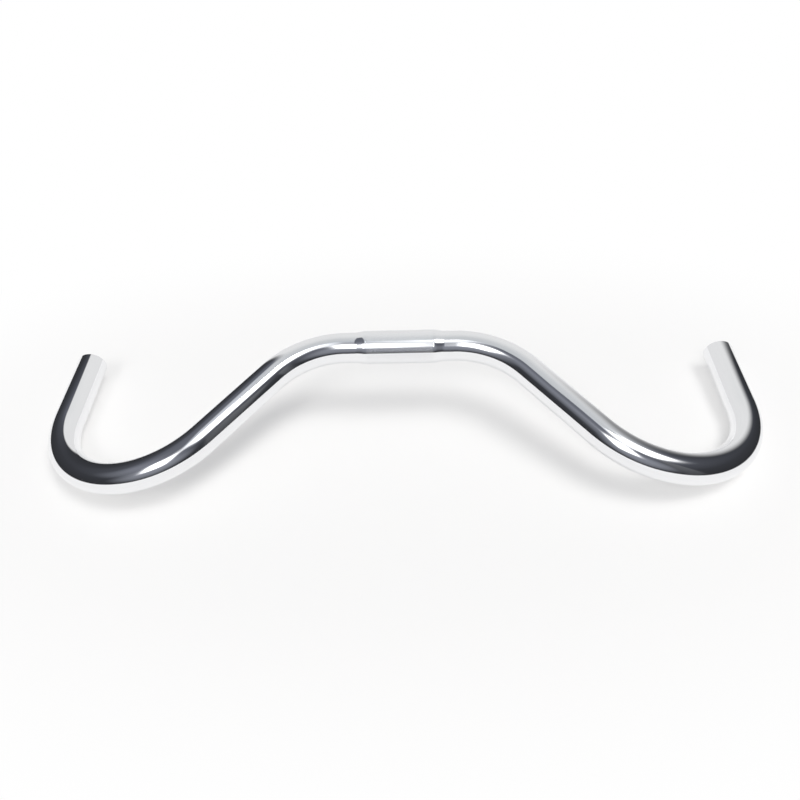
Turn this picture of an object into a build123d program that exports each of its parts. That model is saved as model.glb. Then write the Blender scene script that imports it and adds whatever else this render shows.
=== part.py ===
"""Moustache handlebar: one bent aluminium tube, bulged where the stem clamps it and open at both ends.

The bar lies as it comes to rest on a level floor, on the undersides of its two hooks.
+X is the rider's left, -Y is forward on the bicycle and +Z is up.
The origin is on the tube's centreline, in the middle of the clamp zone.
"""

import os
from math import atan2, cos, radians, sin, tan

from build123d import *

# Tube section
TUBE_DIAMETER = 23.8
WALL = 2.0

# Clamp zone in the middle of the bar, and the cone with rounded corners that leads from it down to the tube
CLAMP_DIAMETER = 26.0
CLAMP_LENGTH = 53.0
TAPER_LENGTH = 6.0
TAPER_ROUNDING = 11.0

# Straight runs and bends of one side, along the centreline from the taper outwards
INNER_RUN_LENGTH = 7.5
FORWARD_BEND_RADIUS = 74.0
FORWARD_BEND_ANGLE = 49.0
ARM_LENGTH = 70.0
HOOK_BEND_RADIUS = 74.0
GRIP_LENGTH = 67.0

# How the bar lies: the plane of the forward bends dips to the front, and the grips rise to the rear
ARM_DIP = 16.1
GRIP_RISE = 3.4

# Bevel of the sawn ends, inside and out
END_BEVEL = 0.6

tube_radius = TUBE_DIAMETER / 2
bore_radius = tube_radius - WALL
clamp_radius = CLAMP_DIAMETER / 2
clamp_half = CLAMP_LENGTH / 2

# Corners of the taper: a rounding reaches as far to both sides of its corner as its tangent length
taper_angle = atan2(clamp_radius - tube_radius, TAPER_LENGTH)
rounding_reach = TAPER_ROUNDING * tan(taper_angle / 2)
taper_start = clamp_half + rounding_reach
taper_end = taper_start + TAPER_LENGTH
straight_half = taper_end + rounding_reach + INNER_RUN_LENGTH

# Directions of the three straight runs of the left side
across = Vector(1, 0, 0)
forward = Vector(0, -cos(radians(ARM_DIP)), -sin(radians(ARM_DIP)))
arm_direction = across * cos(radians(FORWARD_BEND_ANGLE)) + forward * sin(radians(FORWARD_BEND_ANGLE))
grip_direction = Vector(0, cos(radians(GRIP_RISE)), sin(radians(GRIP_RISE)))
hook_bend_angle = arm_direction.get_angle(grip_direction)

# Ends of the straight runs: a bend reaches as far along both of its runs as its tangent length
forward_tangent = FORWARD_BEND_RADIUS * tan(radians(FORWARD_BEND_ANGLE / 2))
hook_tangent = HOOK_BEND_RADIUS * tan(radians(hook_bend_angle / 2))
bend_start = across * straight_half
arm_start = bend_start + (across + arm_direction) * forward_tangent
arm_end = arm_start + arm_direction * ARM_LENGTH
grip_start = arm_end + (arm_direction + grip_direction) * hook_tangent
bar_end = grip_start + grip_direction * GRIP_LENGTH

with BuildPart() as handlebar:
    # Left half of the straight middle: a tube turned about its axis, with a rounded taper down from the bulge
    with BuildSketch() as middle_section:
        with BuildLine():
            Polyline(
                (0, bore_radius),
                (0, clamp_radius),
                (taper_start, clamp_radius),
                (taper_end, tube_radius),
                (straight_half, tube_radius),
                (straight_half, bore_radius),
                close=True,
            )
        make_face()
        taper_middle = ((taper_start + taper_end) / 2, (clamp_radius + tube_radius) / 2)
        taper_corners = middle_section.vertices().sort_by_distance(taper_middle)[0:2]
        fillet(taper_corners, TAPER_ROUNDING)
    revolve(axis=Axis.X)

    # Left side: forward bend, arm, hook and grip, bent from the plain tube
    with BuildLine() as centreline:
        TangentArc(bend_start, arm_start, tangent=across)
        Line(arm_start, arm_end)
        TangentArc(arm_end, grip_start, tangent=arm_direction)
        Line(grip_start, bar_end)
    with BuildSketch(Plane(origin=bend_start, z_dir=across)) as tube_section:
        Circle(tube_radius)
        Circle(bore_radius, mode=Mode.SUBTRACT)
    sweep(path=centreline.wire())

    # The sawn end is bevelled inside and out
    rim_edges = handlebar.edges().filter_by(GeomType.CIRCLE).sort_by_distance(bar_end)[0:2]
    chamfer(rim_edges, END_BEVEL)

    # Right half: the left half's mirror image
    mirror(about=Plane.YZ)

handlebar.part.label = "handlebar"
os.makedirs("parts", exist_ok=True)
export_step(handlebar.part, "parts/handlebar.step")
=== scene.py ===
"""Moustache handlebar: the polished tube with its knurled clamp zone, in a plain white studio.

All lengths are in metres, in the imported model's frame.
+X is the rider's left, -Y is forward on the bicycle and +Z is up.
"""

import logging
import math
from abc import ABC, abstractmethod
from collections.abc import Mapping, Sequence
from dataclasses import dataclass
from enum import Enum
from typing import Any

import bmesh
import bpy
from mathutils import Matrix, Vector

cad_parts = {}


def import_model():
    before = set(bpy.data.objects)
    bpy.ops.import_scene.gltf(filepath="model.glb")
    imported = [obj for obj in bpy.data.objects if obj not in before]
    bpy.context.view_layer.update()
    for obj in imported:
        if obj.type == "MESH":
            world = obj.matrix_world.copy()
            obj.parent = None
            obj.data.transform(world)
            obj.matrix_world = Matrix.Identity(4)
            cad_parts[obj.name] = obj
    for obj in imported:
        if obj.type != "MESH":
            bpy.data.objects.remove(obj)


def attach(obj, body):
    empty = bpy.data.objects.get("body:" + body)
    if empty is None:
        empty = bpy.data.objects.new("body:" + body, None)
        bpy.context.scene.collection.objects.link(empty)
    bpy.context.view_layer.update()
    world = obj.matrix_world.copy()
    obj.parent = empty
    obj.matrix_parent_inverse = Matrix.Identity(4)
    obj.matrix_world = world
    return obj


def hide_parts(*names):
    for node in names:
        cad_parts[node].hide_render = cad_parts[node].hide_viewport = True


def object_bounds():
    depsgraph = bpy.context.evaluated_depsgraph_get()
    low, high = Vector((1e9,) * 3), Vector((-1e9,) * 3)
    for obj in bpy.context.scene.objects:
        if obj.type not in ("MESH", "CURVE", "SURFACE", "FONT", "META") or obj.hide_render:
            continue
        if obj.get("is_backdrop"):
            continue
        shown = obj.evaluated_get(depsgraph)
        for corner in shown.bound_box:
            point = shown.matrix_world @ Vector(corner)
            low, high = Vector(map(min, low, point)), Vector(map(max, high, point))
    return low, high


log = logging.getLogger("handlebar")

Colour = tuple[float, float, float, float]
Stops = tuple[tuple[float, Colour], ...]
Profile = tuple[tuple[float, float], ...]

MM = 0.001

# Attributes of the bar's mesh: how far along the bar a point is, and where round the tube
ALONG = "along"
AROUND = "around"

WHITE: Colour = (1.0, 1.0, 1.0, 1.0)
ROOM_DARK: Colour = (0.032, 0.033, 0.037, 1.0)

# Sockets of a Mix node that mixes colours, where names alone don't tell them apart
MIX_FIRST = 6
MIX_SECOND = 7
MIX_RESULT = 2

# The least part of a ray that counts as going towards a light, so that nothing is divided by zero
GRAZING = 0.001


class Operation(Enum):
    """The Math node operations that an expression on values can add."""

    ADD = "ADD"
    SUBTRACT = "SUBTRACT"
    MULTIPLY = "MULTIPLY"
    DIVIDE = "DIVIDE"
    POWER = "POWER"
    MAXIMUM = "MAXIMUM"
    ABSOLUTE = "ABSOLUTE"


class Skin(Enum):
    """The material slots of the bar's mesh."""

    POLISHED = 0
    SAWN = 1
    GROOVE = 2


class Value:
    """A shader socket that carries a number, on which Python's operators add Math nodes."""

    def __init__(self, nodes: "NodeMaker", socket: bpy.types.NodeSocket) -> None:
        """Keep the socket and the maker of its tree."""
        self.nodes = nodes
        self.socket = socket

    def math(self, operation: Operation, *operands: "Operand") -> "Value":
        """Add one Math node.

        Args:
            operation: What the node does.
            operands: The values of its inputs, in order.

        Returns:
            The node's result.
        """
        settings = {"operation": operation.value}
        node = self.nodes.add("ShaderNodeMath", settings, dict(enumerate(operands)))
        return Value(self.nodes, node.outputs[0])

    def __add__(self, other: "Operand") -> "Value":
        """This value plus another."""
        return self.math(Operation.ADD, self, other)

    def __radd__(self, other: "Operand") -> "Value":
        """Another value plus this one."""
        return self.math(Operation.ADD, other, self)

    def __sub__(self, other: "Operand") -> "Value":
        """This value minus another."""
        return self.math(Operation.SUBTRACT, self, other)

    def __rsub__(self, other: "Operand") -> "Value":
        """Another value minus this one."""
        return self.math(Operation.SUBTRACT, other, self)

    def __mul__(self, other: "Operand") -> "Value":
        """This value times another."""
        return self.math(Operation.MULTIPLY, self, other)

    def __rmul__(self, other: "Operand") -> "Value":
        """Another value times this one."""
        return self.math(Operation.MULTIPLY, other, self)

    def __truediv__(self, other: "Operand") -> "Value":
        """This value divided by another."""
        return self.math(Operation.DIVIDE, self, other)

    def __rtruediv__(self, other: "Operand") -> "Value":
        """Another value divided by this one."""
        return self.math(Operation.DIVIDE, other, self)

    def __pow__(self, other: "Operand") -> "Value":
        """This value to the power of another."""
        return self.math(Operation.POWER, self, other)

    def __rpow__(self, other: "Operand") -> "Value":
        """Another value to the power of this one."""
        return self.math(Operation.POWER, other, self)

    def __abs__(self) -> "Value":
        """This value without its sign."""
        return self.math(Operation.ABSOLUTE, self)

    def at_least(self, least: float) -> "Value":
        """This value, or the least that it may be."""
        return self.math(Operation.MAXIMUM, self, least)


Operand = Value | float


class NodeMaker:
    """Adds nodes to one tree, each by its type, its settings and what its sockets get."""

    def __init__(self, tree: bpy.types.NodeTree) -> None:
        """Start on an emptied tree."""
        self.tree = tree
        tree.nodes.clear()

    def add(
        self,
        kind: str,
        settings: Mapping[str, Any] | None = None,
        sockets: Mapping[Any, Any] | None = None,
    ) -> bpy.types.Node:
        """Add one node of any type.

        Args:
            kind: The node's type.
            settings: Its settings, which are set first. Stops are those of a ramp.
            sockets: Its inputs by name or number, each a number, a colour, a Value or a socket.

        Returns:
            The new node.
        """
        node = self.tree.nodes.new(kind)
        for name, setting in (settings or {}).items():
            if name == "stops":
                self.set_stops(node.color_ramp, setting)
            else:
                setattr(node, name, setting)
        for name, given in (sockets or {}).items():
            source = given.socket if isinstance(given, Value) else given
            if isinstance(source, bpy.types.NodeSocket):
                self.tree.links.new(source, node.inputs[name])
            else:
                node.inputs[name].default_value = source
        return node

    def set_stops(self, ramp: bpy.types.ColorRamp, stops: Stops) -> None:
        """Give a ramp its stops.

        Args:
            ramp: The ramp, which has two stops to begin with.
            stops: The position and colour of each stop, in order.
        """
        while len(ramp.elements) < len(stops):
            ramp.elements.new(1.0)
        for element, (position, colour) in zip(ramp.elements, stops):
            element.position = position
            element.color = colour

    def number(
        self,
        kind: str,
        output: str,
        settings: Mapping[str, Any] | None = None,
        sockets: Mapping[Any, Any] | None = None,
    ) -> Value:
        """Add one node and wrap an output of it.

        Args:
            kind: The node's type.
            output: The name of the output that is wanted.
            settings: Its settings.
            sockets: Its inputs.

        Returns:
            The output as a value.
        """
        return Value(self, self.add(kind, settings, sockets).outputs[output])

    def split(self, vector: bpy.types.NodeSocket) -> tuple[Value, Value, Value]:
        """Split a vector.

        Args:
            vector: The vector's socket.

        Returns:
            Its X, Y and Z.
        """
        parts = self.add("ShaderNodeSeparateXYZ", None, {"Vector": vector}).outputs
        return Value(self, parts["X"]), Value(self, parts["Y"]), Value(self, parts["Z"])

    def place(self) -> bpy.types.NodeSocket:
        """The Object coordinates of a point."""
        return self.add("ShaderNodeTexCoord").outputs["Object"]

    def ramp(self, stops: Stops, factor: Operand) -> bpy.types.NodeSocket:
        """The colour of a ramp at a factor."""
        return self.add("ShaderNodeValToRGB", {"stops": stops}, {"Fac": factor}).outputs["Color"]

    def glow(
        self, colour: Colour | bpy.types.NodeSocket, strength: Operand = 1.0
    ) -> bpy.types.NodeSocket:
        """An emission of one colour."""
        sockets = {"Color": colour, "Strength": strength}
        return self.add("ShaderNodeEmission", None, sockets).outputs[0]

    def mix(
        self, factor: Operand, first: bpy.types.NodeSocket, second: bpy.types.NodeSocket
    ) -> bpy.types.NodeSocket:
        """A mix of two shaders."""
        sockets = {0: factor, 1: first, 2: second}
        return self.add("ShaderNodeMixShader", None, sockets).outputs[0]


def start_material(name: str) -> tuple[bpy.types.Material, NodeMaker]:
    """Make an empty material.

    Args:
        name: Its name.

    Returns:
        The material and the maker of its nodes.
    """
    material = bpy.data.materials.new(name)
    material.use_nodes = True
    return material, NodeMaker(material.node_tree)


def soft_step(nodes: NodeMaker, value: Value, edge: Operand, fade: Operand) -> Value:
    """Step smoothly from zero to one.

    Args:
        nodes: The tree's nodes.
        value: The value that passes the edge.
        edge: Where the step is half way.
        fade: How far it reaches to each side.

    Returns:
        The step.
    """
    limits = {"From Min": edge - fade, "From Max": edge + fade, "To Min": 0.0, "To Max": 1.0}
    return nodes.number(
        "ShaderNodeMapRange",
        "Result",
        {"interpolation_type": "SMOOTHSTEP"},
        {"Value": value, **limits},
    )


@dataclass(frozen=True)
class BareMetal(ABC):
    """What the bar's finishes share: bare metal with a grain of brighter and duller marks."""

    name: str
    bright: Colour
    dull: Colour
    roughness: float
    grain_roughness: float

    @abstractmethod
    def grain(self, nodes: NodeMaker) -> tuple[Value, Value]:
        """Lay the grain over the surface.

        Args:
            nodes: The material's nodes.

        Returns:
            The grain, from 0, dull, to 1, bright, and how far the surface stands up.
        """

    def material(self) -> bpy.types.Material:
        """Make the material.

        Returns:
            The finished material.
        """
        material, nodes = start_material(self.name)
        grain, height = self.grain(nodes)
        colour = nodes.add(
            "ShaderNodeMix",
            {"data_type": "RGBA"},
            {"Factor": grain, MIX_FIRST: self.dull, MIX_SECOND: self.bright},
        )
        uneven = nodes.add(
            "ShaderNodeBump", None, {"Height": height, "Strength": 1.0, "Distance": 1.0}
        )
        shader = nodes.add(
            "ShaderNodeBsdfPrincipled",
            None,
            {
                "Base Color": colour.outputs[MIX_RESULT],
                "Metallic": 1.0,
                "Roughness": grain * self.grain_roughness + self.roughness,
                "Normal": uneven.outputs["Normal"],
            },
        )
        nodes.add("ShaderNodeOutputMaterial", None, {"Surface": shader.outputs[0]})
        return material


@dataclass(frozen=True)
class PolishedAluminium(BareMetal):
    """Mirror-polished tube: fine buffing lines along the bar and a slightly uneven polish."""

    name: str = "polished_aluminium"
    bright: Colour = (0.93, 0.935, 0.945, 1.0)
    dull: Colour = (0.86, 0.865, 0.88, 1.0)
    roughness: float = 0.05
    grain_roughness: float = 0.05
    line_count: float = 34.0
    line_length: float = 50.0 * MM
    line_detail: float = 4.0
    line_contrast: float = 0.6
    line_height: float = 0.0012 * MM
    wave_scale: float = 55.0
    wave_detail: float = 1.0
    wave_height: float = 0.003 * MM

    def grain(self, nodes: NodeMaker) -> tuple[Value, Value]:
        """Lay the buffing lines and the waves of the polish.

        Args:
            nodes: The material's nodes.

        Returns:
            The lines, and how far the surface stands up.
        """
        around = nodes.add("ShaderNodeAttribute", {"attribute_name": AROUND})
        along = nodes.number("ShaderNodeAttribute", "Fac", {"attribute_name": ALONG})
        beside, above, _ = nodes.split(around.outputs["Vector"])
        drawn = nodes.add(
            "ShaderNodeCombineXYZ",
            None,
            {
                "X": beside * self.line_count,
                "Y": above * self.line_count,
                "Z": along / self.line_length,
            },
        )
        lines = nodes.number(
            "ShaderNodeTexNoise",
            "Fac",
            None,
            {
                "Vector": drawn.outputs["Vector"],
                "Scale": 1.0,
                "Detail": self.line_detail,
                "Roughness": self.line_contrast,
            },
        )
        waves = nodes.number(
            "ShaderNodeTexNoise",
            "Fac",
            None,
            {"Vector": nodes.place(), "Scale": self.wave_scale, "Detail": self.wave_detail},
        )
        return lines, waves * self.wave_height + lines * self.line_height


@dataclass(frozen=True)
class SawnAluminium(BareMetal):
    """The sawn ends and the inside of the tube: bare drawn metal, duller than the outside."""

    name: str = "sawn_aluminium"
    bright: Colour = (0.74, 0.745, 0.75, 1.0)
    dull: Colour = (0.5, 0.505, 0.515, 1.0)
    roughness: float = 0.3
    grain_roughness: float = 0.2
    scratch_scale: float = 900.0
    scratch_detail: float = 3.0
    scratch_height: float = 0.004 * MM

    def grain(self, nodes: NodeMaker) -> tuple[Value, Value]:
        """Lay the scratches.

        Args:
            nodes: The material's nodes.

        Returns:
            The scratches, and how far the surface stands up.
        """
        scratches = nodes.number(
            "ShaderNodeTexNoise",
            "Fac",
            None,
            {
                "Vector": nodes.place(),
                "Scale": self.scratch_scale,
                "Detail": self.scratch_detail,
            },
        )
        return scratches, scratches * self.scratch_height


@dataclass(frozen=True)
class RolledGrooves(SawnAluminium):
    """The knurl's grooves: as rough as the sawn ends, but brightened by the roller."""

    name: str = "rolled_grooves"
    bright: Colour = (0.88, 0.885, 0.895, 1.0)
    dull: Colour = (0.7, 0.705, 0.715, 1.0)


class RingSweep:
    """Grows a tube from one ring, run by run, and notes each ring's place along the bar."""

    def __init__(self, mesh: bmesh.types.BMesh, segments: int) -> None:
        """Get ready to sweep.

        Args:
            mesh: The bmesh that the tube is added to.
            segments: The number of segments round the tube.
        """
        layers = mesh.verts.layers
        self.mesh = mesh
        self.segments = segments
        self.along = layers.float.get(ALONG) or layers.float.new(ALONG)
        self.around = layers.float_vector.get(AROUND) or layers.float_vector.new(AROUND)
        self.ring: list[bmesh.types.BMEdge] = []
        self.centre = Vector()
        self.travel = 0.0

    def start(self, x: float, radius: float) -> None:
        """Make the first ring, square to X.

        Args:
            x: Its place on the X axis.
            radius: Its radius.
        """
        self.centre = Vector((x, 0, 0))
        self.travel = x
        square = Matrix.Translation(self.centre) @ Matrix.Rotation(math.pi / 2, 4, "Y")
        made = bmesh.ops.create_circle(
            self.mesh, segments=self.segments, radius=radius, matrix=square
        )
        verts = made["verts"]
        self.ring = list({edge for vert in verts for edge in vert.link_edges})
        for vert in verts:
            vert[self.around] = Vector((vert.co.y, vert.co.z, 0)) / radius
            vert[self.along] = self.travel

    def keep(self, grown: Sequence[Any]) -> list[bmesh.types.BMVert]:
        """Take the new ring out of what an operator made.

        Args:
            grown: The geometry that the operator gave back.

        Returns:
            The new ring's vertices.
        """
        verts = [part for part in grown if isinstance(part, bmesh.types.BMVert)]
        new = set(verts)
        edges = [part for part in grown if isinstance(part, bmesh.types.BMEdge)]
        self.ring = [edge for edge in edges if new.issuperset(edge.verts)]
        for vert in verts:
            vert[self.along] = self.travel
        return verts

    def push(self, offset: Vector, scale: float = 1.0) -> None:
        """Extrude the ring straight on.

        Args:
            offset: How far, and which way.
            scale: How much wider the new ring is.
        """
        self.centre = self.centre + offset
        self.travel += offset.length
        verts = self.keep(bmesh.ops.extrude_edge_only(self.mesh, edges=self.ring)["geom"])
        bmesh.ops.translate(self.mesh, vec=offset, verts=verts)
        about = Matrix.Translation(-self.centre)
        bmesh.ops.scale(self.mesh, vec=(scale, scale, scale), space=about, verts=verts)

    def turn(self, pivot: Vector, axis: Vector, angle: float, steps: int) -> None:
        """Spin the ring round a bend.

        Args:
            pivot: The bend's centre.
            axis: The axis that it turns about.
            angle: How far it turns.
            steps: The number of rings in the bend.
        """
        step = angle / steps
        reach = (self.centre - pivot).length * abs(step)
        for _ in range(steps):
            self.travel += reach
            made = bmesh.ops.spin(
                self.mesh, geom=self.ring, cent=pivot, axis=axis, angle=step, steps=1
            )
            self.keep(made["geom_last"])
        self.centre = pivot + Matrix.Rotation(angle, 3, axis) @ (self.centre - pivot)


@dataclass
class Knurl:
    """The diamond knurl rolled into the clamp zone: flat polished diamonds and fine grooves."""

    radius: float = 13.0 * MM
    length: float = 51.4 * MM
    diamonds_around: int = 72
    rows: int = 52
    groove_width: float = 0.06 * MM
    groove_depth: float = 0.012 * MM

    def build(self, mesh: bmesh.types.BMesh) -> list[bmesh.types.BMFace]:
        """Model the knurled sleeve, open at both ends.

        Args:
            mesh: The bmesh that it is added to.

        Returns:
            The faces of the sleeve.
        """
        before = set(mesh.faces)
        sweep = RingSweep(mesh, self.diamonds_around)
        sweep.start(-self.length / 2, self.radius - self.groove_depth)
        half_pitch = Matrix.Rotation(math.pi / self.diamonds_around, 3, "X")
        rings = [sweep.ring]
        for _ in range(self.rows):
            sweep.push(Vector((self.length / self.rows, 0, 0)))
            verts = list({vert for edge in sweep.ring for vert in edge.verts})
            bmesh.ops.rotate(mesh, cent=(0, 0, 0), matrix=half_pitch, verts=verts)
            rings.append(sweep.ring)

        # Triangles joined in pairs across the rings are the diamonds
        faces = [face for face in mesh.faces if face not in before]
        bmesh.ops.recalc_face_normals(mesh, faces=faces)
        bmesh.ops.triangulate(mesh, faces=faces, quad_method="SHORT_EDGE")
        inner = [edge for ring in rings[1:-1] for edge in ring]
        bmesh.ops.dissolve_edges(mesh, edges=inner, use_verts=False, use_face_split=False)
        diamonds = [face for face in mesh.faces if face not in before and len(face.verts) == 4]
        walls = bmesh.ops.inset_individual(
            mesh,
            faces=diamonds,
            thickness=self.groove_width / 2,
            depth=self.groove_depth,
            use_even_offset=True,
        )["faces"]
        for wall in walls:
            wall.material_index = Skin.GROOVE.value
        return [face for face in mesh.faces if face not in before]


@dataclass
class Handlebar:
    """The bar: one bent tube with a bulged clamp zone, tapers, bends, arms, hooks and grips."""

    tube_diameter: float = 23.8 * MM
    wall: float = 2.0 * MM
    clamp_diameter: float = 26.0 * MM
    clamp_length: float = 53.0 * MM
    taper_length: float = 6.0 * MM
    taper_rounding: float = 11.0 * MM
    inner_run_length: float = 7.5 * MM
    forward_bend_radius: float = 74.0 * MM
    forward_bend_angle: float = math.radians(49.0)
    arm_length: float = 70.0 * MM
    hook_bend_radius: float = 74.0 * MM
    grip_length: float = 67.0 * MM
    arm_dip: float = math.radians(16.1)
    grip_rise: float = math.radians(3.4)
    end_bevel: float = 0.6 * MM
    segments: int = 144
    rounding_rings: int = 10
    rim_rings: int = 4
    forward_bend_rings: int = 32
    hook_rings: int = 84
    bore_forward_rings: int = 10
    bore_hook_rings: int = 26
    seam: float = 0.001 * MM
    crease: float = math.radians(30.0)

    def rounding_reach(self) -> float:
        """Find how far a rounding of the taper reaches to each side of its corner.

        Returns:
            The rounding's tangent length.
        """
        drop = (self.clamp_diameter - self.tube_diameter) / 2
        return self.taper_rounding * math.tan(math.atan2(drop, self.taper_length) / 2)

    def round_off(
        self,
        mesh: bmesh.types.BMesh,
        edges: list[bmesh.types.BMEdge],
        reach: float,
        rings: int,
    ) -> None:
        """Round off edges.

        Args:
            mesh: The bmesh that they are in.
            edges: The edges, in whole rings.
            reach: How far the rounding reaches from each edge.
            rings: The number of faces across the rounding.
        """
        bmesh.ops.bevel(
            mesh,
            geom=edges,
            offset=reach,
            offset_type="OFFSET",
            affect="EDGES",
            segments=rings,
            profile=0.5,
            material=-1,
        )

    def build_side(self, mesh: bmesh.types.BMesh, first_ring: float) -> None:
        """Model the bar's left side, outside and bore, from the knurl's end to the sawn end.

        Args:
            mesh: The bmesh that it is added to.
            first_ring: Where the smooth tube starts, on the X axis.
        """
        # Directions of the three straight runs
        across = Vector((1, 0, 0))
        forward = Vector((0, -math.cos(self.arm_dip), -math.sin(self.arm_dip)))
        bend = self.forward_bend_angle
        arm = across * math.cos(bend) + forward * math.sin(bend)
        grip = Vector((0, math.cos(self.grip_rise), math.sin(self.grip_rise)))
        hook = arm.angle(grip)
        hook_side = (grip - arm * math.cos(hook)).normalized()

        # Outside, from the clamp zone to the end of the grip
        sweep = RingSweep(mesh, self.segments)
        sweep.start(first_ring, self.clamp_diameter / 2)
        reach = self.rounding_reach()
        sweep.push(across * (self.clamp_length / 2 + reach - first_ring))
        taper_top = sweep.ring
        sweep.push(across * self.taper_length, self.tube_diameter / self.clamp_diameter)
        taper_foot = sweep.ring
        sweep.push(across * (reach + self.inner_run_length))
        forward_pivot = sweep.centre + forward * self.forward_bend_radius
        forward_axis = across.cross(forward)
        sweep.turn(forward_pivot, forward_axis, bend, self.forward_bend_rings)
        sweep.push(arm * self.arm_length)
        hook_pivot = sweep.centre + hook_side * self.hook_bend_radius
        hook_axis = arm.cross(hook_side)
        sweep.turn(hook_pivot, hook_axis, hook, self.hook_rings)
        sweep.push(grip * self.grip_length)
        outer_rim = sweep.ring
        outside = set(mesh.faces)

        # Sawn end, and the bore back to the middle of the bar
        sweep.push(Vector(), 1 - self.wall / (self.tube_diameter / 2))
        inner_rim = sweep.ring
        sweep.push(grip * -self.grip_length)
        sweep.turn(hook_pivot, hook_axis, -hook, self.bore_hook_rings)
        sweep.push(arm * -self.arm_length)
        sweep.turn(forward_pivot, forward_axis, -bend, self.bore_forward_rings)
        sweep.push(across * -sweep.centre.x)
        for face in mesh.faces:
            if face not in outside:
                face.material_index = Skin.SAWN.value
        self.round_off(mesh, outer_rim + inner_rim, self.end_bevel, self.rim_rings)
        self.round_off(mesh, taper_top + taper_foot, reach, self.rounding_rings)

    def build(self, knurl: Knurl) -> bpy.types.Object:
        """Model the whole bar as one closed shell.

        Args:
            knurl: The knurl of the clamp zone.

        Returns:
            The bar's object, at the origin.
        """
        mesh = bmesh.new()
        first_ring = (knurl.length / 2 + self.clamp_length / 2) / 2
        self.build_side(mesh, first_ring)
        side = list(mesh.verts) + list(mesh.edges) + list(mesh.faces)
        bmesh.ops.mirror(
            mesh, geom=side, matrix=Matrix.Identity(4), merge_dist=self.seam, axis="X"
        )
        along = mesh.verts.layers.float[ALONG]
        for vert in mesh.verts:
            if vert.co.x < 0:
                vert[along] = -vert[along]
        for face in mesh.faces:
            face.smooth = True

        # The knurled sleeve is bridged to the smooth tube on both sides
        sleeve = knurl.build(mesh)
        log.info("knurl: %d faces", len(sleeve))
        for hand in (-1, 1):
            ends = [
                edge
                for edge in mesh.edges
                if edge.is_boundary and edge.verts[0].co.x * hand > 0
            ]
            bmesh.ops.bridge_loops(mesh, edges=ends)
        bmesh.ops.recalc_face_normals(mesh, faces=mesh.faces)
        for edge in mesh.edges:
            edge.smooth = edge.calc_face_angle(0.0) < self.crease
        data = bpy.data.meshes.new("handlebar_tube")
        mesh.to_mesh(data)
        mesh.free()
        bar = bpy.data.objects.new("handlebar_tube", data)
        bpy.context.scene.collection.objects.link(bar)
        return bar

    def dress(self, bar: bpy.types.Object, finishes: Mapping[Skin, BareMetal]) -> None:
        """Give the bar its finishes and its place in the frame.

        Args:
            bar: The bar's object.
            finishes: The finish of each material slot.
        """
        for skin in Skin:
            bar.data.materials.append(finishes[skin].material())
        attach(bar, "root")
        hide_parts("handlebar")


@dataclass
class Sheet:
    """A sheet of the studio, which is laid along a profile and isn't part of the bar."""

    floor_height: float
    half_width: float = 4.0

    def lay(self, name: str, profile: Profile) -> bpy.types.Object:
        """Make the sheet, by extruding its first edge from point to point of its profile.

        Args:
            name: Its name.
            profile: The points that it goes through, each a Y and a height above the floor.

        Returns:
            The sheet's object, marked as stage.
        """
        mesh = bmesh.new()
        (y, z), *rest = profile
        sides = (-self.half_width, self.half_width)
        ends = [mesh.verts.new((x, y, self.floor_height + z)) for x in sides]
        edges = [mesh.edges.new(ends)]
        for next_y, next_z in rest:
            grown = bmesh.ops.extrude_edge_only(mesh, edges=edges)["geom"]
            verts = {part for part in grown if isinstance(part, bmesh.types.BMVert)}
            bmesh.ops.translate(mesh, vec=(0, next_y - y, next_z - z), verts=list(verts))
            new_edges = [part for part in grown if isinstance(part, bmesh.types.BMEdge)]
            edges = [edge for edge in new_edges if verts.issuperset(edge.verts)]
            y, z = next_y, next_z
        data = bpy.data.meshes.new(name)
        mesh.to_mesh(data)
        mesh.free()
        sheet = bpy.data.objects.new(name, data)
        bpy.context.scene.collection.objects.link(sheet)
        sheet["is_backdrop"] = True
        return sheet

    def leave_to_polish(self, sheet: bpy.types.Object) -> None:
        """Hide a sheet from all but the polish, which mirrors it.

        Args:
            sheet: The sheet's object.
        """
        sheet.visible_camera = False
        sheet.visible_diffuse = False
        sheet.visible_shadow = False

    def fade_out(self, nodes: NodeMaker, inside: Value, colour: bpy.types.NodeSocket) -> None:
        """Glow a colour inside a sheet's edges, a painted reflection for the polish, and nothing
        outside them.

        Args:
            nodes: The material's nodes.
            inside: How far a point is inside, from 0 to 1.
            colour: The colour of the sheet's painted glow.
        """
        clear = nodes.add("ShaderNodeBsdfTransparent").outputs[0]
        shown = nodes.mix(inside, clear, nodes.glow(colour))
        nodes.add("ShaderNodeOutputMaterial", None, {"Surface": shown})


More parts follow.
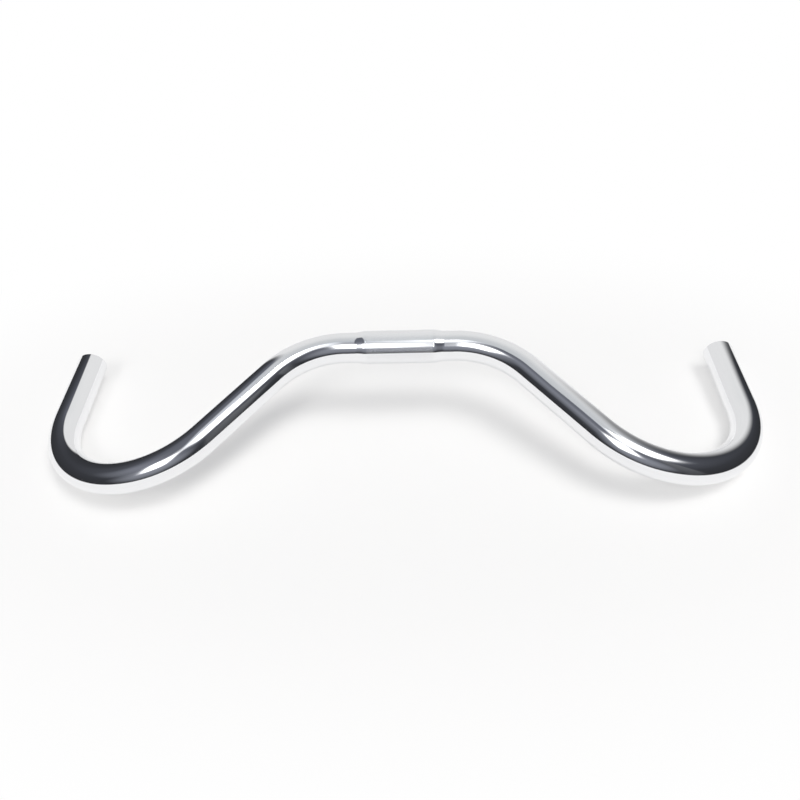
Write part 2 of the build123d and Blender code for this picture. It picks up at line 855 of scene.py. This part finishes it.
@dataclass
class Floor(Sheet):
    """The matt white paper under the bar. It glows white to the camera and the polish.

    It is near white by the bar, where its glow is weaker and leaves a painted shade round the bar
    over its lit shading, and looks plain white away from it, where it glows full white.
    Beyond its edges the polish sees it glow the room's dark, a painted reflection.
    """

    white: Colour = (0.96, 0.945, 0.92, 1.0)
    near_glow: float = 0.45
    far_glow: float = 1.0
    # Where the painted shade round the bar lies, and how far it fades
    shade_halo_middle: float = -0.04
    shade_halo_reach: tuple[float, float] = (0.39, 0.21)
    shade_halo_fade: float = 0.5
    left: float = -0.5
    right: float = 0.4
    front: float = -0.53
    edge_fade: float = 0.05

    def material(self) -> bpy.types.Material:
        """Make the paper's white, with its painted glow, painted shade and painted dark edges.

        Returns:
            The finished material.
        """
        material, nodes = start_material("white_paper")
        path = nodes.add("ShaderNodeLightPath")
        glossy = Value(nodes, path.outputs["Is Glossy Ray"])
        seen = Value(nodes, path.outputs["Is Camera Ray"]) + glossy
        x, y, _ = nodes.split(nodes.place())
        # Painted shade round the bar: the paper glows less white near the bar and full white away
        # from it
        across = x / self.shade_halo_reach[0]
        ahead = (y - self.shade_halo_middle) / self.shade_halo_reach[1]
        away = soft_step(nodes, (across * across + ahead * ahead) ** 0.5, 1.0, self.shade_halo_fade)
        glow = away * (self.far_glow - self.near_glow) + self.near_glow
        matt = nodes.add("ShaderNodeBsdfDiffuse", None, {"Color": self.white}).outputs[0]
        paper = nodes.mix(seen * glow, matt, nodes.glow(WHITE))
        # Beyond the paper's edges the polish sees a painted dark glow of the room
        after_left = soft_step(nodes, x, self.left, self.edge_fade)
        before_right = 1 - soft_step(nodes, x, self.right, self.edge_fade)
        inside = after_left * before_right * soft_step(nodes, y, self.front, self.edge_fade)
        shown = nodes.mix((1 - inside) * glossy, paper, nodes.glow(ROOM_DARK))
        nodes.add("ShaderNodeOutputMaterial", None, {"Surface": shown})
        return material

    def build(self) -> bpy.types.Object:
        """Lay the paper and dress it.

        Returns:
            The floor's object.
        """
        floor = self.lay("studio_floor", ((-self.half_width, 0.0), (self.half_width, 0.0)))
        floor.data.materials.append(self.material())
        return floor


@dataclass
class Sweep(Sheet):
    """The sweep behind and above the bar: a white painted glow that only the polish shows.

    Its left edge slants inwards overhead, from the turn to the slant's end.
    Its right edge and that edge's fade are given at its foot and at its top.
    """

    profile: Profile = (
        (0.42, 0.0),
        (0.45, 0.1),
        (0.46, 0.22),
        (0.45, 0.38),
        (0.39, 0.55),
        (0.29, 0.68),
        (0.16, 0.78),
        (0.02, 0.84),
        (-0.12, 0.86),
    )
    left: float = -0.37
    left_fade: float = 0.03
    slant: float = 0.55
    slant_turn: float = 0.46
    slant_end: float = -0.08
    right: tuple[float, float] = (0.52, 0.58)
    right_fade: tuple[float, float] = (0.14, 0.26)
    # Painted glow of the sweep, from its foot to its top
    white: Stops = (
        (0.0, (0.82, 0.82, 0.82, 1.0)),
        (0.45, (0.83, 0.83, 0.83, 1.0)),
        (0.64, (0.8, 0.805, 0.805, 1.0)),
        (0.79, (0.72, 0.73, 0.735, 1.0)),
        (0.9, (0.63, 0.645, 0.66, 1.0)),
        (1.0, (0.58, 0.6, 0.62, 1.0)),
    )

    def material(self) -> bpy.types.Material:
        """Make the sweep's painted white glow, which fades with height and at its two edges.

        Returns:
            The finished material.
        """
        material, nodes = start_material("lit_sweep")
        x, y, z = nodes.split(nodes.place())
        height = (z - self.floor_height) / self.profile[-1][1]
        overhead = (self.slant_turn - y.at_least(self.slant_end)).at_least(0.0)
        left = overhead * self.slant + self.left
        right, right_fade = (
            foot + height * (top - foot) for foot, top in (self.right, self.right_fade)
        )
        after_left = soft_step(nodes, x, left, self.left_fade)
        inside = after_left * (1 - soft_step(nodes, x, right, right_fade))
        self.fade_out(nodes, inside, nodes.ramp(self.white, height))
        return material

    def build(self) -> bpy.types.Object:
        """Hang the sweep and dress it.

        Returns:
            The sweep's object.
        """
        sweep = self.lay("studio_sweep", self.profile)
        sweep.data.materials.append(self.material())
        self.leave_to_polish(sweep)
        return sweep


@dataclass
class Screen(Sheet):
    """The screen in front of the bar and to its right: a dim painted glow that only the polish
    shows.
    """

    profile: Profile = ((-0.58, 0.0), (-0.58, 1.0))
    left: float = 0.48
    left_fade: float = 0.1
    right: float = 0.8
    right_fade: float = 0.06
    top: float = 0.78
    top_fade: float = 0.12
    # Painted glow of the screen, from the floor upwards
    screen_glow: Stops = (
        (0.0, (0.065, 0.067, 0.073, 1.0)),
        (0.25, (0.095, 0.098, 0.107, 1.0)),
        (0.7, (0.145, 0.149, 0.16, 1.0)),
    )

    def material(self) -> bpy.types.Material:
        """Make the screen's dim painted glow, which grows lighter with height and fades at its
        edges.

        Returns:
            The finished material.
        """
        material, nodes = start_material("grey_screen")
        x, _, z = nodes.split(nodes.place())
        height = z - self.floor_height
        after_left = soft_step(nodes, x, self.left, self.left_fade)
        before_right = 1 - soft_step(nodes, x, self.right, self.right_fade)
        below_top = 1 - soft_step(nodes, height, self.top, self.top_fade)
        inside = after_left * before_right * below_top
        self.fade_out(nodes, inside, nodes.ramp(self.screen_glow, height))
        return material

    def build(self) -> bpy.types.Object:
        """Put up the screen and dress it.

        Returns:
            The screen's object.
        """
        screen = self.lay("studio_screen", self.profile)
        screen.data.materials.append(self.material())
        self.leave_to_polish(screen)
        return screen


@dataclass(frozen=True)
class SoftBox:
    """A soft light or a pale patch far from the bar, by its direction and its size as angles.

    Angles are in degrees. The azimuth is 0 behind the bar and grows towards +X.
    The feather is the share of its size over which its edge fades, the falloff makes that fade
    steeper, the squareness goes from 2, an ellipse, to a rectangle, and the roll turns it.
    """

    azimuth: float
    elevation: float
    width: float
    height: float
    strength: float
    feather: float
    falloff: float = 1.0
    squareness: float = 2.0
    roll: float = 0.0
    colour: Colour = WHITE

    def shine(self, nodes: NodeMaker, ray: bpy.types.NodeSocket) -> bpy.types.NodeSocket:
        """Add the light to the world.

        Args:
            nodes: The world's nodes.
            ray: The ray's direction.

        Returns:
            The light's emission, which is black outside it.
        """
        turn, lift = math.radians(self.azimuth), math.radians(self.elevation)
        level = math.cos(lift)
        to_light = Vector((math.sin(turn) * level, math.cos(turn) * level, math.sin(lift)))
        level_side = to_light.cross(Vector((0, 0, 1))).normalized()
        sideways = Matrix.Rotation(math.radians(self.roll), 3, to_light) @ level_side
        upwards = sideways.cross(to_light)
        near = self.along(nodes, ray, to_light).at_least(GRAZING)
        half_width = math.tan(math.radians(self.width / 2))
        half_height = math.tan(math.radians(self.height / 2))
        beside = abs(self.along(nodes, ray, sideways) / near) / half_width
        above = abs(self.along(nodes, ray, upwards) / near) / half_height
        corner = self.squareness
        reach = (beside**corner + above**corner) ** (1 / corner)
        inside = 1 - soft_step(nodes, reach, 1.0, self.feather)
        return nodes.glow(self.colour, inside**self.falloff * self.strength)

    def along(self, nodes: NodeMaker, ray: bpy.types.NodeSocket, direction: Vector) -> Value:
        """The part of a ray that goes one way."""
        settings = {"operation": "DOT_PRODUCT"}
        return nodes.number("ShaderNodeVectorMath", "Value", settings, {0: ray, 1: direction})


@dataclass
class Room:
    """The dim room round the bar, with its two soft lights and the pale patches that it shows."""

    front_box: SoftBox = SoftBox(
        azimuth=-162.3,
        elevation=46.6,
        width=27.5,
        height=31.5,
        strength=11.5,
        feather=0.95,
        falloff=4.5,
        squareness=5.0,
        roll=13.0,
    )
    right_box: SoftBox = SoftBox(
        azimuth=107.5,
        elevation=69.0,
        width=39.5,
        height=34.5,
        strength=12.0,
        feather=0.9,
        falloff=4.0,
        squareness=3.0,
        roll=-18.0,
    )
    ceiling: SoftBox = SoftBox(
        azimuth=90.0,
        elevation=84.5,
        width=54.0,
        height=28.0,
        strength=0.46,
        feather=0.25,
        squareness=6.0,
        roll=17.0,
        colour=(0.96, 1.0, 1.04, 1.0),
    )
    spill: SoftBox = SoftBox(
        azimuth=-179.0, elevation=66.5, width=20.0, height=14.0, strength=0.38, feather=0.8
    )
    front_wall: SoftBox = SoftBox(
        azimuth=-172.0,
        elevation=26.0,
        width=66.0,
        height=42.0,
        strength=0.22,
        feather=0.7,
        colour=(0.93, 0.97, 1.1, 1.0),
    )
    left_wall: SoftBox = SoftBox(
        azimuth=-118.0,
        elevation=48.5,
        width=46.0,
        height=31.0,
        strength=0.1,
        feather=0.65,
        colour=(0.93, 0.97, 1.1, 1.0),
    )
    shades: Stops = (
        (0.0, ROOM_DARK),
        (0.4, (0.042, 0.044, 0.051, 1.0)),
        (0.66, (0.07, 0.074, 0.088, 1.0)),
        (0.77, (0.112, 0.118, 0.142, 1.0)),
        (1.0, (0.145, 0.153, 0.18, 1.0)),
    )

    def build(self) -> bpy.types.World:
        """Make the world: white behind the floor for the camera, and the lit room for the rest.

        Returns:
            The scene's new world.
        """
        world = bpy.data.worlds.new("studio")
        world.use_nodes = True
        bpy.context.scene.world = world
        nodes = NodeMaker(world.node_tree)
        ray = nodes.add("ShaderNodeTexCoord").outputs["Generated"]
        _, _, height = nodes.split(ray)
        lit = nodes.glow(nodes.ramp(self.shades, height))
        boxes = (self.front_box, self.right_box)
        patches = (self.ceiling, self.spill, self.front_wall, self.left_wall)
        for box in boxes + patches:
            both = {0: lit, 1: box.shine(nodes, ray)}
            lit = nodes.add("ShaderNodeAddShader", None, both).outputs[0]
        seen = nodes.number("ShaderNodeLightPath", "Is Camera Ray")
        mixed = nodes.mix(seen, lit, nodes.glow(WHITE))
        nodes.add("ShaderNodeOutputWorld", None, {"Surface": mixed})
        return world


@dataclass(frozen=True)
class PhotoCamera:
    """The camera of the photograph: above the front of the bar, looking down at it."""

    eye: tuple[float, float, float] = (0.0152, -0.4699, 0.3705)
    pitch: float = math.radians(42.202)
    yaw: float = math.radians(-2.05)
    roll: float = math.radians(-2.466)
    lens: float = 34.573
    sensor_width: float = 36.0
    clip_start: float = 0.01

    def build(self) -> bpy.types.Object:
        """Make the camera and look through it.

        Returns:
            The camera's object.
        """
        data = bpy.data.cameras.new("photo_camera")
        data.sensor_width = self.sensor_width
        data.lens = self.lens
        data.clip_start = self.clip_start
        camera = bpy.data.objects.new("photo_camera", data)
        heading = Matrix.Rotation(-self.yaw, 4, "Z")
        tilt = Matrix.Rotation(math.pi / 2 - self.pitch, 4, "X")
        lean = Matrix.Rotation(self.roll, 4, "Z")
        camera.matrix_world = Matrix.Translation(self.eye) @ heading @ tilt @ lean
        bpy.context.scene.collection.objects.link(camera)
        bpy.context.scene.camera = camera
        return camera


def main() -> None:
    """Build the bar, dress it, and set the studio and the camera."""
    logging.basicConfig(level=logging.INFO, format="%(name)s: %(message)s")
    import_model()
    cad_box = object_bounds()
    bpy.context.scene.view_settings.view_transform = "Standard"
    camera = PhotoCamera().build()
    log.info("%s: %.1f mm lens", camera.name, camera.data.lens)

    handlebar = Handlebar()
    bar = handlebar.build(Knurl())
    finishes = {
        Skin.POLISHED: PolishedAluminium(),
        Skin.SAWN: SawnAluminium(),
        Skin.GROOVE: RolledGrooves(),
    }
    handlebar.dress(bar, finishes)
    log.info("%s: %d faces", bar.name, len(bar.data.polygons))

    floor_height = cad_box[0][2]
    for sheet in (Floor(floor_height), Sweep(floor_height), Screen(floor_height)):
        laid = sheet.build()
        log.info("%s: %d faces", laid.name, len(laid.data.polygons))
    world = Room().build()
    log.info("%s: %d nodes", world.name, len(world.node_tree.nodes))


if __name__ == "__main__":
    main()
